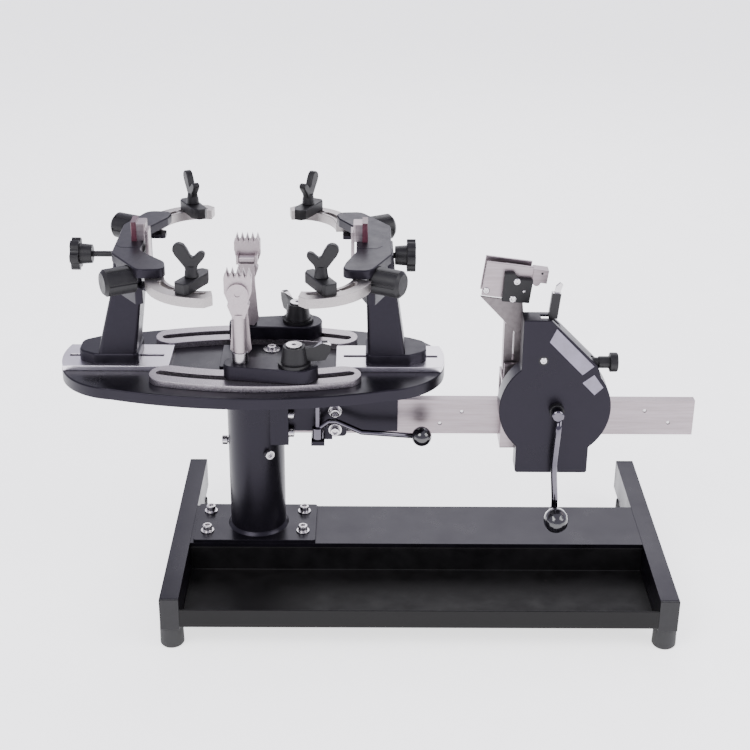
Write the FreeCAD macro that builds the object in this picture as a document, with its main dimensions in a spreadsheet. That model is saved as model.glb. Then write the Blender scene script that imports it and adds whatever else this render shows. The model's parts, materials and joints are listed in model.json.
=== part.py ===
"""Tabletop racket stringing machine with a hand crank and a lock-out tension head.

Millimetres, +Z up, +X along the tension rail. The origin is on the table, under the middle of the machine.
The turntable turns about the vertical axis at spin_x, and what is on it is placed by two numbers: u, the
distance from that axis along X, and v, the distance from the machine's middle plane along Y.
"""
import FreeCAD, Part
import math
import os
import re
import Sketcher
from FreeCAD import Placement, Rotation, Vector

# ---------------------------------------------------------------- driving dimensions
DIMENSIONS = {
    # base frame
    "base_long": 530, "base_deep": 300, "base_x": 40,
    "side_wide": 20, "side_tall": 36, "tube_wall": 2.5, "cap_thick": 3,
    "foot_dia": 25, "foot_tall": 24, "foot_inset": 13, "rear_foot_inset": 33,
    "beam_wide": 80, "tray_thick": 2, "tray_floor": 26, "tray_lip": 48,
    # post
    "spin_x": -133, "post_dia": 60, "post_wall": 4, "post_top": 240,
    "foot_plate_long": 132, "foot_plate_thick": 4, "foot_plate_back": 37, "foot_plate_x": -135.6,
    "screw_span_x": 104, "screw_span_y": 42, "screw_dia": 6,
    # turntable
    "table_low": 247, "table_thick": 12, "table_half": 199.5, "table_wide": 92,
    "top_plate_thick": 5.5, "top_plate_wide": 55, "slide_start": 86, "slot_wide": 5.2, "bar_slot": 10.4,
    "front_bar_shift": 4.5,
    "slot_near": 94, "slot_far": 192, "hub_half": 34, "spindle_dia": 30,
    "bar_radius": 340, "bar_wide": 38, "bar_half": 108, "bar_thick": 7, "bar_v": 59,
    # towers
    "tower_gap": 0.1, "tower_foot_thick": 12, "tower_foot_wide": 48, "column_wide": 46,
    "head_low": 385, "head_thick": 9, "block_low": 352, "support_u": 113, "knob_z": 377,
    "barrel_dia": 27, "barrel_v": 85.5, "barrel_z": 378.5, "barrel_splay": 27,
    # side arms, pads and wing screws
    "arm_low": 374, "arm_thick": 10, "arm_radius": 51.5, "arm_wide": 19, "arm_u": 45, "arm_v": 74,
    "pad_low": 384.2, "pad_thick": 11, "wing_tall": 34, "wing_thick": 6,
    # string clamps
    "clamp_low": 266.3, "clamp_thick": 14.7, "clamp_post_u": 12.6, "clamp_v": 51, "front_bolt_u": 45,
    "rear_bolt_u": 44,
    "sleeve_dia": 14, "sleeve_low": 293, "sleeve_top": 334, "jaw_wide": 27, "jaw_top": 374,
    "tooth_tall": 7, "paddle_z": 357,
    # tension rail and its holder
    "rail_end": 332.5, "rail_start": -92, "rail_low": 178, "rail_tall": 40, "rail_front": -8,
    "rail_thick": 10,
    "holder_end": 18, "holder_low": 184, "holder_tall": 48, "holder_thick": 7,
    # rack and pinion
    "crank_x": 180, "crank_z": 228, "gear_module": 1.5, "pinion_teeth": 20, "gear_front": 2.6, "gear_wide": 7,
    # tension head
    "head_x": 178.7, "cover_radius": 57.5, "cover_front": -50, "cover_deep": 24, "cover_wall": 2.5,
    "frame_start": 126, "frame_end": 214, "crank_reach": 114, "crank_offset": 3, "crank_plane": -62,
    "shaft_dia": 10,
    "pivot_x": 137, "pivot_z": 257, "tension_knob_z": 276.5, "middle_of_head": -38,
    # brake
    "brake_x": -66, "brake_y": -27, "brake_lever_z": 195, "brake_pad_top": 246.4,
}

doc = FreeCAD.newDocument("StringingMachine")
sheet = doc.addObject("Spreadsheet::Sheet", "Dims")
for row, (alias, number) in enumerate(DIMENSIONS.items(), start=1):
    sheet.set(f"A{row}", alias)
    sheet.set(f"B{row}", str(number))
    sheet.setAlias(f"B{row}", alias)
doc.recompute()

nodes = []


# ---------------------------------------------------------------- helpers
def formula(text):
    """The text with every alias turned into a reference to its cell."""
    return re.sub(r"[a-z_]\w*", lambda word: ("Dims." if word.group() in DIMENSIONS else "") + word.group(),
                  text)


def bind(thing, **formulas):
    """Binds properties to formulas of the sheet; a double underscore stands for a dot."""
    for path, text in formulas.items():
        thing.setExpression(path.replace("__", "."), formula(text))
    return thing


def keep(thing, label):
    """Marks a finished object as a node of the machine, under its own label."""
    thing.Label = label
    nodes.append(thing)
    return thing


def box(name, size, corner):
    """A Part::Box whose sizes and lowest corner are formulas."""
    solid = doc.addObject("Part::Box", name)
    bind(solid, Length=size[0], Width=size[1], Height=size[2])
    return bind(solid, Placement__Base__x=corner[0], Placement__Base__y=corner[1], Placement__Base__z=corner[2])


TURNS = {"z": Rotation(), "x": Rotation(Vector(0, 1, 0), 90), "y": Rotation(Vector(1, 0, 0), -90)}


def rod(name, radius, length, foot, along="z"):
    """A Part::Cylinder from its foot along +X, +Y or +Z."""
    solid = doc.addObject("Part::Cylinder", name)
    solid.Placement = Placement(Vector(), TURNS[along])
    bind(solid, Radius=radius, Height=length)
    return bind(solid, Placement__Base__x=foot[0], Placement__Base__y=foot[1], Placement__Base__z=foot[2])


def fuse(name, *pieces):
    solid = doc.addObject("Part::MultiFuse", name)
    solid.Shapes = list(pieces)
    return solid


def cut(name, base, tool):
    solid = doc.addObject("Part::Cut", name)
    solid.Base = base
    solid.Tool = tool
    return solid


def group(name, pieces):
    """Separate solids of one kind, kept together as one node."""
    bundle = doc.addObject("Part::Compound", name)
    bundle.Links = list(pieces)
    return bundle


def shaped(name, shape):
    solid = doc.addObject("Part::Feature", name)
    solid.Shape = shape
    return solid


def sketch_on(body, role, name, offset="0"):
    """A sketch on one of the body's own origin planes, lifted along that plane's normal."""
    sketch = body.newObject("Sketcher::SketchObject", name)
    plane = next(feature for feature in body.Origin.OriginFeatures if feature.Role == role)
    sketch.AttachmentSupport = [(plane, "")]
    sketch.MapMode = "FlatFace"
    return bind(sketch, AttachmentOffset__Base__z=offset)


def draw(sketch, corners):
    """A closed outline of (x, y, radius) corners, each rounded by a tangent arc of its radius."""
    runs = []
    count = len(corners)
    for index, (x, y, radius) in enumerate(corners):
        here = Vector(x, y, 0)
        before = Vector(*corners[index - 1][:2], 0) - here
        after = Vector(*corners[(index + 1) % count][:2], 0) - here
        if radius == 0:
            runs.append((here, None, here))
            continue
        half = before.getAngle(after) / 2
        reach = radius / math.tan(half)
        bisector = (before.normalize() + after.normalize()).normalize()
        centre = here + bisector * (radius / math.sin(half))
        runs.append((here + before * reach, centre - bisector * radius, here + after * reach))
    for index, (start, middle, end) in enumerate(runs):
        if middle is not None:
            sketch.addGeometry(Part.Arc(start, middle, end))
        following = runs[(index + 1) % count][0]
        if end.distanceToPoint(following) > 1e-6:
            sketch.addGeometry(Part.LineSegment(end, following))


def drill(sketch, x, y, radius):
    """A circle whose centre and radius are formulas of the sheet."""
    index = sketch.addGeometry(Part.Circle(Vector(1, 1, 0), Vector(0, 0, 1), 2))
    for kind, text in (("Radius", radius), ("DistanceX", x), ("DistanceY", y)):
        places = (index, 2.0) if kind == "Radius" else (-1, 1, index, 3, 1.0)
        number = sketch.addConstraint(Sketcher.Constraint(kind, *places))
        sketch.setExpression(f"Constraints[{number}]", formula(text))


def plate(name, corners, low, thick, holes=(), slots=(), role="XY_Plane"):
    """A body padded from a rounded outline, with (x, y, radius) holes and outlined slots through it."""
    body = doc.addObject("PartDesign::Body", name)
    sketch = sketch_on(body, role, name + "_outline", low)
    draw(sketch, corners)
    for slot in slots:
        draw(sketch, slot)
    for x, y, radius in holes:
        drill(sketch, x, y, radius)
    pad = body.newObject("PartDesign::Pad", name + "_pad")
    pad.Profile = sketch
    bind(pad, Length=thick)
    body.Tip = pad
    return body


def turned(name, profile, foot, along="z"):
    """A body turned about its axis from (radius, height) corners, its foot at a place given by formulas."""
    body = doc.addObject("PartDesign::Body", name)
    sketch = sketch_on(body, "XZ_Plane", name + "_profile")
    draw(sketch, [(radius, height, 0) for radius, height in profile])
    spin = body.newObject("PartDesign::Revolution", name + "_turn")
    spin.Profile = sketch
    spin.ReferenceAxis = (sketch, ["V_Axis"])
    spin.Angle = 360
    body.Tip = spin
    body.Placement = Placement(Vector(), TURNS[along])
    return bind(body, Placement__Base__x=foot[0], Placement__Base__y=foot[1], Placement__Base__z=foot[2])


def slab(points, near_y, thick):
    """A plate cut to a front view of (x, z) corners."""
    ring = [Vector(x, near_y, z) for x, z in points]
    return Part.Face(Part.makePolygon(ring + ring[:1])).extrude(Vector(0, thick, 0))


def soften(body, size, chosen):
    """Rounds the edges of a body's last feature that the test picks."""
    doc.recompute()
    base = body.Tip
    names = [f"Edge{number}" for number, edge in enumerate(base.Shape.Edges, start=1) if chosen(edge)]
    fillet = body.newObject("PartDesign::Fillet", body.Name + "_rounding")
    fillet.Base = (base, names)
    fillet.Radius = size
    body.Tip = fillet
    return body


def level(height):
    """Picks edges that lie flat at one height."""
    return lambda edge: all(abs(vertex.Z - height) < 1e-4 for vertex in edge.Vertexes)


# ---------------------------------------------------------------- base frame
def base_frame():
    """Two side rails on rubber feet, a wide beam between them and a sheet-metal tool tray in front."""
    tubes = []
    for name, edge in (("left", "base_x - base_long / 2"), ("right", "base_x + base_long / 2 - side_wide")):
        outer = box(name + "_rail_outer", ("side_wide", "base_deep - 2 * cap_thick", "side_tall"),
                    (edge, "cap_thick - base_deep / 2", "foot_tall"))
        inner = box(name + "_rail_bore",
                    ("side_wide - 2 * tube_wall", "base_deep", "side_tall - 2 * tube_wall"),
                    (edge + " + tube_wall", "-base_deep / 2", "foot_tall + tube_wall"))
        tubes.append(cut(name + "_rail_tube", outer, inner))
    keep(group("rail_tubes", tubes), "side_rails")

    caps = []
    feet = []
    for x, tag_x in (("base_x - base_long / 2", "l"), ("base_x + base_long / 2 - side_wide", "r")):
        for y, tag_y in (("-base_deep / 2", "f"), ("base_deep / 2 - cap_thick", "b")):
            caps.append(box("cap_" + tag_x + tag_y, ("side_wide", "cap_thick", "side_tall"),
                            (x, y, "foot_tall")))
        for foot_y, tag_y in (("foot_inset - base_deep / 2", "f"), ("base_deep / 2 - rear_foot_inset", "b")):
            feet.append(turned("foot_" + tag_x + tag_y,
                               [(0, 0), (11, 0), (12.5, 2), (12, sheet.foot_tall), (0, sheet.foot_tall)],
                               (x + " + side_wide / 2", foot_y, "0")))
    keep(group("caps", caps), "rail_end_caps")
    keep(group("feet", feet), "rubber_feet")

    span = "base_long - 2 * side_wide"
    start = "base_x - base_long / 2 + side_wide"
    outer = box("beam_outer", (span, "beam_wide", "side_tall"), (start, "-beam_wide / 2", "foot_tall"))
    bore = box("beam_bore", (span, "beam_wide - 2 * tube_wall", "side_tall - 2 * tube_wall"),
               (start, "tube_wall - beam_wide / 2", "foot_tall + tube_wall"))
    holes = [rod(f"beam_hole_{i}", "screw_dia / 2 + 0.2", "20", (x, y, "foot_tall + side_tall - 10"))
             for i, (x, y) in enumerate(plate_screws())]
    keep(cut("beam_tube", outer, fuse("beam_cuts", bore, *holes)), "centre_beam")

    # The tray's section: up the front lip, along the floor and up against the beam.
    front, back = -sheet.base_deep / 2, -sheet.beam_wide / 2
    thick, floor, lip = sheet.tray_thick, sheet.tray_floor, sheet.tray_lip
    section = [(front, lip, 0), (front, floor, 3), (back, floor, 3), (back, 56, 0), (back - thick, 56, 0),
               (back - thick, floor + thick, 1), (front + thick, floor + thick, 1), (front + thick, lip, 0)]
    keep(plate("tray", section, start, span, role="YZ_Plane"), "tool_tray")


def plate_screws():
    """The places of the four screws of the post's foot plate, as formulas."""
    return [(f"foot_plate_x {sx} screw_span_x / 2", f"{sy}screw_span_y / 2") for sx in "+-" for sy in ("", "-")]


def cap_screw(name, x, y, head_low, shank, along="z", washer=True, sign=1):
    """An M6 socket cap screw, with its washer; the head's foot is at head_low along its axis."""
    lift = 1.6 if washer else 0
    ring = [(7.2, 0), (7.2, lift), (5, lift)] if washer else [(5, 0)]
    profile = [(0, -shank), (3, -shank), (3, 0)] + ring + [(5, lift + 5.4), (4.4, lift + 6), (2.6, lift + 6),
               (2.6, lift + 3), (0, lift + 3)]
    screw = turned(name, profile, (x, y, head_low), along)
    if sign < 0:
        flip = {"x": Rotation(Vector(0, 1, 0), -90), "y": Rotation(Vector(1, 0, 0), 90)}[along]
        screw.Placement = Placement(screw.Placement.Base, flip)
    return screw


# ---------------------------------------------------------------- post
def post():
    """The foot plate, the tube welded on it, the bearings in its top and the screws."""
    half_x, half_y = sheet.foot_plate_long / 2, sheet.beam_wide / 2
    mid = sheet.foot_plate_x
    corners = [(mid - half_x, -half_y, 3), (mid + half_x, -half_y, 3), (mid + half_x, sheet.foot_plate_back, 3),
               (mid - half_x, sheet.foot_plate_back, 3)]
    keep(plate("foot_plate", corners, "foot_tall + side_tall", "foot_plate_thick",
               holes=[(x, y, "screw_dia / 2 + 0.2") for x, y in plate_screws()]), "post_foot_plate")

    foot = "foot_tall + side_tall + foot_plate_thick"
    place = ("spin_x", "0", foot)
    outer = rod("post_outer", "post_dia / 2", f"post_top - ({foot})", place)
    screw_holes = [rod("side_hole", "3", "14", ("spin_x - post_dia / 2 - 4", "0", "165"), "x")]
    weld = turned("weld", [(25, 0), (33, 0), (32, 1.4), (30.9, 2.6), (30, 3.4), (25, 3.4)], place)
    bore = rod("post_bore", "post_dia / 2 - post_wall", "post_top", place)
    turn = Rotation(Vector(0, 0, 1), -62).multiply(Rotation(Vector(0, 1, 0), 90))
    face = Vector(sheet.spin_x, 0, 163) + turn.multVec(Vector(0, 0, sheet.post_dia / 2))
    front_hole = shaped("front_hole", Part.makeCylinder(3, 14, Vector(0, 0, -8)))
    front_hole.Placement = Placement(face, turn)
    cuts = fuse("post_cuts", bore, front_hole, *screw_holes)
    keep(cut("post_tube_cut", fuse("post_and_weld", outer, weld), cuts),
         "post_tube")

    rings = []
    for name, low in (("upper", "post_top - 14"), ("lower", "post_top - 62")):
        outer = rod(name + "_bearing_outer", "post_dia / 2 - post_wall", "12", ("spin_x", "0", low))
        bore = rod(name + "_bearing_bore", "spindle_dia / 2 + 0.05", "12", ("spin_x", "0", low))
        rings.append(cut(name + "_bearing", outer, bore))
    keep(group("bearings", rings), "spindle_bearings")

    screws = [cap_screw(f"foot_screw_{i}", x, y, foot, 11) for i, (x, y) in enumerate(plate_screws())]

    # Two clamping screws through the tube wall hold the bearing sleeve.
    side = cap_screw("post_screw_side", "spin_x - post_dia / 2 - 0.8", "0", "165", 4, "x", False, -1)
    head = Part.makeCylinder(5, 5.2, Vector(0, 0, 0.8)).cut(Part.makeCylinder(2.6, 3.2, Vector(0, 0, 3)))
    front = shaped("post_screw_front", head.fuse(Part.makeCylinder(3, 4.8, Vector(0, 0, -4))).removeSplitter())
    front.Placement = Placement(face, turn)
    return screws + [side, front]


# ---------------------------------------------------------------- turntable
def table_outline(inset=0.0):
    """The turntable's rim: long shallow sides, rounded shoulders and nearly flat ends."""
    half, wide, mid = sheet.table_half - inset, sheet.table_wide - inset, sheet.spin_x
    shoulder = Vector(140 - inset / 2, 70.5 - inset, 0)
    corner = Vector(177 - inset * 0.8, 53.5 - inset * 0.8, 0)
    end = Vector(196 - inset, 25 - inset * 0.3, 0)
    quarter = [shoulder, corner, end]
    arcs = []
    for sx, sy in ((1, 1), (1, -1), (-1, -1), (-1, 1)):
        arcs.append(Part.Arc(*[Vector(mid + sx * p.x, sy * p.y, 0) for p in quarter]))
    for sy in (1, -1):
        arcs.append(Part.Arc(Vector(mid - shoulder.x, sy * shoulder.y, 0), Vector(mid, sy * wide, 0),
                             Vector(mid + shoulder.x, sy * shoulder.y, 0)))
    for sx in (1, -1):
        arcs.append(Part.Arc(Vector(mid + sx * end.x, end.y, 0), Vector(mid + sx * half, 0, 0),
                             Vector(mid + sx * end.x, -end.y, 0)))
    return arcs


def slot_corners(side):
    """The tower bolt's slot, in the plates of one side."""
    near, far = sorted(sheet.spin_x + side * u for u in (sheet.slot_near, sheet.slot_far))
    half = sheet.slot_wide / 2
    return [(near, -half, 0), (far, -half, 0), (far, half, 0), (near, half, 0)]


def turntable():
    """The spinning plate, its spindle, the slide plates that the towers ride on and the clamps' glide bars."""
    body = doc.addObject("PartDesign::Body", "table")
    sketch = sketch_on(body, "XY_Plane", "table_outline", "table_low")
    for arc in table_outline():
        sketch.addGeometry(arc)
    for side in (-1, 1):
        draw(sketch, slot_corners(side))
    pad = body.newObject("PartDesign::Pad", "table_pad")
    pad.Profile = sketch
    bind(pad, Length="table_thick")
    body.Tip = pad
    top = sheet.table_low + sheet.table_thick
    outside = lambda edge: level(top)(edge) and edge.Length > 40 and edge.Curve.TypeId == "Part::GeomCircle"
    keep(soften(body, 1.5, outside), "turntable_plate")

    spindle = turned("spindle", [(0, -64), (15, -64), (15, -6), (42, -6), (42, 0), (0, 0)],
                     ("spin_x", "0", "table_low"))
    keep(spindle, "spindle")

    outline = Part.Face(Part.Wire(Part.__sortEdges__([arc.toShape() for arc in table_outline(0.4)])))
    low, half = sheet.table_low + sheet.table_thick, sheet.top_plate_wide / 2
    lifted = outline.extrude(Vector(0, 0, sheet.top_plate_thick))
    lifted.translate(Vector(0, 0, low))
    plates = []
    for side, label in ((-1, "left"), (1, "right")):
        strip = Part.makeBox(150, 2 * half, 30, Vector(0, -half, low - 5))
        near_u = sheet.slide_start if side > 0 else -sheet.slide_start - 150
        strip.translate(Vector(sheet.spin_x + near_u, 0, 0))
        slot = Part.Face(Part.makePolygon([Vector(x, y, low - 1) for x, y, _ in slot_corners(side)]
                                          + [Vector(*slot_corners(side)[0][:2], low - 1)]))
        plates.append(shaped(label + "_slide", lifted.common(strip).cut(slot.extrude(Vector(0, 0, 20)))))

    hub = sheet.hub_half
    mid = sheet.spin_x
    plates.append(plate("hub", [(mid - hub, -half, 2), (mid + hub, -half, 2), (mid + hub, half, 2),
                                (mid - hub, half, 2)], "table_low + table_thick", "top_plate_thick"))
    keep(group("top_plates", plates), "slide_plates")
    keep(group("bars", [glide_bar(side, label) for side, label in ((-1, "front"), (1, "rear"))]), "glide_bars")


def bar_middle(side):
    """The middle of a glide bar along X; the front bar sits a little off the spindle's axis."""
    return sheet.spin_x + (sheet.front_bar_shift if side < 0 else 0)


def glide_bar(side, label):
    """A curved bar with a long slot, bulging outwards; its arc's centre is on the far side of the spindle."""
    radius, mid, wide = sheet.bar_radius, bar_middle(side), sheet.bar_wide
    centre_v = sheet.bar_v - radius

    def ring_part(inner, outer, half_angle):
        spread = math.radians(half_angle)
        at = lambda r, a: Vector(mid + r * math.sin(a), side * (centre_v + r * math.cos(a)), 0)
        cap = (outer - inner) / 2
        middle = (outer + inner) / 2
        end = lambda sign: at(middle, sign * spread) + Vector(
            sign * cap * math.cos(spread), -side * cap * math.sin(spread), 0)
        return Part.Wire([Part.Arc(at(outer, -spread), at(outer, 0), at(outer, spread)).toShape(),
                          Part.Arc(at(outer, spread), end(1), at(inner, spread)).toShape(),
                          Part.Arc(at(inner, spread), at(inner, 0), at(inner, -spread)).toShape(),
                          Part.Arc(at(inner, -spread), end(-1), at(outer, -spread)).toShape()])

    full = math.degrees(math.asin((sheet.bar_half - wide / 2) / radius))
    outer = Part.Face(ring_part(radius - wide / 2, radius + wide / 2, full))
    half = sheet.bar_slot / 2
    slot = Part.Face(ring_part(radius - half, radius + half, full + 1.2))
    bar = outer.cut(slot).extrude(Vector(0, 0, sheet.bar_thick))
    bar.translate(Vector(0, 0, sheet.table_low + sheet.table_thick))
    return shaped(label + "_bar", bar)


# ---------------------------------------------------------------- towers
def spread(side, corners):
    """Corners given as (u, v, radius), set out on one side of the spin axis."""
    return [(sheet.spin_x + side * u, v, radius) for u, v, radius in corners]


LOBES = {"left": {"lean": -4, "front": -9, "rear": 3}, "right": {"lean": 4, "front": 9, "rear": 0}}
BARRELS = {"front_left": (137, 32), "rear_left": (149.3, 32), "front_right": (152.6, 32),
           "rear_right": (144, 30)}


def barrel_line(side, end, label):
    """An adjuster barrel's outer end, its direction outwards and its length."""
    outer_u, long = BARRELS[label]
    splay = math.radians(sheet.barrel_splay)
    outer = Vector(sheet.spin_x + side * outer_u, end * sheet.barrel_v, sheet.barrel_z)
    return outer, Vector(side * math.cos(splay), end * math.sin(splay), 0), long


def barrel_room(side, end, label, inward=0.0):
    """The room that a barrel needs, with a gap all round it, moved inwards by some of the arm's travel."""
    outer, along, full = barrel_line(side, end, label)
    foot = outer - along * (full + 0.5) - Vector(side * inward, 0, 0)
    return Part.makeCylinder(sheet.barrel_dia / 2 + 0.5, 2 * full, foot, along)


def tower(side, label):
    """One tower: a cast foot, tapered column and boomerang head, with its bolt through the slot."""
    lean, front, rear = (LOBES[label][part] for part in ("lean", "front", "rear"))
    low = sheet.table_low + sheet.table_thick + sheet.top_plate_thick + sheet.tower_gap
    half = sheet.tower_foot_wide / 2
    foot = plate(label + "_tower_foot", spread(side, [(117, -half, 6), (162, -half, 8), (180, -13, 12),
                 (180, 13, 12), (162, half, 8), (117, half, 6)]),
                 "table_low + table_thick + top_plate_thick + tower_gap", "tower_foot_thick")
    soften(foot, 2, level(low + sheet.tower_foot_thick))

    column = doc.addObject("PartDesign::Body", label + "_column")
    sketch = sketch_on(column, "XZ_Plane", label + "_column_outline")
    top = low + sheet.tower_foot_thick
    draw(sketch, spread(side, [(119, top - 2, 0), (158, top - 2, 0), (157, top + 6, 0),
                               (143 + lean, sheet.block_low, 0), (140 + lean, sheet.head_low, 0),
                               (110 + lean, sheet.head_low, 0), (113 + lean, sheet.block_low, 0)]))
    pad = column.newObject("PartDesign::Pad", label + "_column_pad")
    pad.Profile = sketch
    pad.Midplane = True
    bind(pad, Length="column_wide")
    column.Tip = pad
    soften(column, 4, lambda edge: abs(edge.Vertexes[0].Z - edge.Vertexes[-1].Z) > 20
           and abs(edge.Vertexes[0].Y) > 20)

    outline = spread(side, [(107, -34, 14), (88 + front, -64, 10), (84 + front, -86, 9), (112 + front, -88, 12),
                            (138 + lean, -42, 12), (138 + lean, 42, 12), (112 + rear, 86, 12),
                            (84 + rear, 84, 9), (88 + rear, 64, 10), (107, 34, 14)])
    head = plate(label + "_head", outline, "head_low", "head_thick")
    soften(head, 1.5, level(sheet.head_low + sheet.head_thick))

    block = plate(label + "_block", spread(side, [(109 + lean / 2, -50, 3), (109 + front, -71, 3),
                  (116 + front, -74, 3), (134 + lean, -42, 6), (134 + lean, 42, 6), (116 + rear, 74, 3),
                  (109 + rear, 71, 3), (109 + lean / 2, 50, 3)]), "block_low", "head_low - block_low")
    keepers = [plate(f"{label}_keeper_{name}", spread(side, [(92 + out, v * 66, 3), (114 + out, v * 66, 0),
                     (114 + out, v * 72, 0), (106 + out, v * 82, 4), (92 + out, v * 82, 4)]), "arm_low - 4.3", "4")
               for name, v, out in (("f", -1, front), ("b", 1, rear))]

    # A bore for the knob's screw and a groove for the support's bracket.
    bore = rod(label + "_knob_bore", "3.3", "60", (f"spin_x + {side * 125} - 30", "0", "knob_z"), "x")
    casting = fuse(label + "_casting", foot, column, head, block, *keepers)
    rooms = [shaped(f"{name}_room", barrel_room(side, end, name))
             for end, name in ((-1, f"front_{label}"), (1, f"rear_{label}"))]
    bored = cut(label + "_casting_bored", casting, fuse(label + "_casting_cuts", bore, *rooms))

    bolt = turned(label + "_bolt", [(0, 0), (2.4, 0), (2.4, 14.4), (0, 14.4)],
                  (f"spin_x + {side} * 150", "0", "table_low + 3"))
    nut = turned(label + "_lock_nut", [(0, -10), (11, -10), (12, -9), (12, -3), (9, -0.4), (2.4, -0.4), (2.4, 3),
                 (0, 3)], (f"spin_x + {side} * 150", "0", "table_low"))
    keep(group(label + "_tower_set", [bored, fuse(label + "_bolt_and_nut", bolt, nut)]), label + "_tower")


def star_knob(side, label, outer_u):
    """A five-lobed knob on a screw that points at the spin axis."""
    flange, grip = 9, 12
    lobes = 6
    circle = Part.makeCylinder(16.5, flange)
    for index in range(lobes):
        turn = math.radians(360 / lobes * index)
        circle = circle.cut(Part.makeCylinder(5.5, flange, Vector(19 * math.cos(turn), 19 * math.sin(turn), 0)))
    hub = Part.makeCone(10.5, 9.5, grip, Vector(0, 0, flange))
    screw = Part.makeCylinder(3, outer_u - flange - grip - 107, Vector(0, 0, flange + grip))
    knob = circle.fuse([hub, screw]).removeSplitter()
    thing = shaped(label + "_knob", knob)
    thing.Placement = Placement(Vector(sheet.spin_x + side * outer_u, 0, sheet.knob_z),
                                Rotation(Vector(0, 1, 0), -90 * side))
    keep(thing, label + "_star_knob")


def racket_support(side, label):
    """The rest for the racket's head or throat: a steel block on a bracket, backed by a red plate."""
    u = sheet.support_u
    block = plate(label + "_rest", spread(side, [(u - 9, -9, 2), (u, -9, 0), (u, 9, 0), (u - 9, 9, 2)]),
                  "head_low + head_thick + 0.3", "18")
    strap = plate(label + "_strap", spread(side, [(101.5, -9, 1), (104.9, -9, 0), (104.9, 9, 0), (101.5, 9, 1)]),
                  "block_low + 6", "head_low + head_thick + 10 - block_low - 6")
    red = plate(label + "_red", spread(side, [(u, -10, 0), (u + 5.5, -10, 1), (u + 5.5, 10, 1),
                (u, 10, 0)]), "head_low + head_thick + 0.3", "20")
    keep(group(label + "_support_set", [fuse(label + "_support_body", block, strap), red]),
         label + "_racket_support")


def barrel(side, end, label):
    """An adjuster barrel with shallow grooves, splayed outwards from the head's slanted side."""
    outer, along, long = barrel_line(side, end, label)
    radius = sheet.barrel_dia / 2
    profile = Part.makePolygon([Vector(0, 0, 0), Vector(radius - 1, 0, 0), Vector(radius, 0, 1),
                                Vector(radius, 0, long - 3), Vector(radius - 3, 0, long), Vector(0, 0, long),
                                Vector(0, 0, 0)])
    solid = Part.Face(profile).revolve(Vector(), Vector(0, 0, 1), 360)
    grooves = 6
    for index in range(grooves):
        turn = math.radians(360 / grooves * index)
        solid = solid.cut(Part.makeCylinder(1.6, long, Vector((radius + 0.6) * math.cos(turn),
                                                              (radius + 0.6) * math.sin(turn), -4)))
    thing = shaped(label + "_barrel", solid)
    thing.Placement = Placement(outer - along * long, Rotation(Vector(0, 0, 1), along))
    keep(thing, label + "_adjuster")


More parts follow.
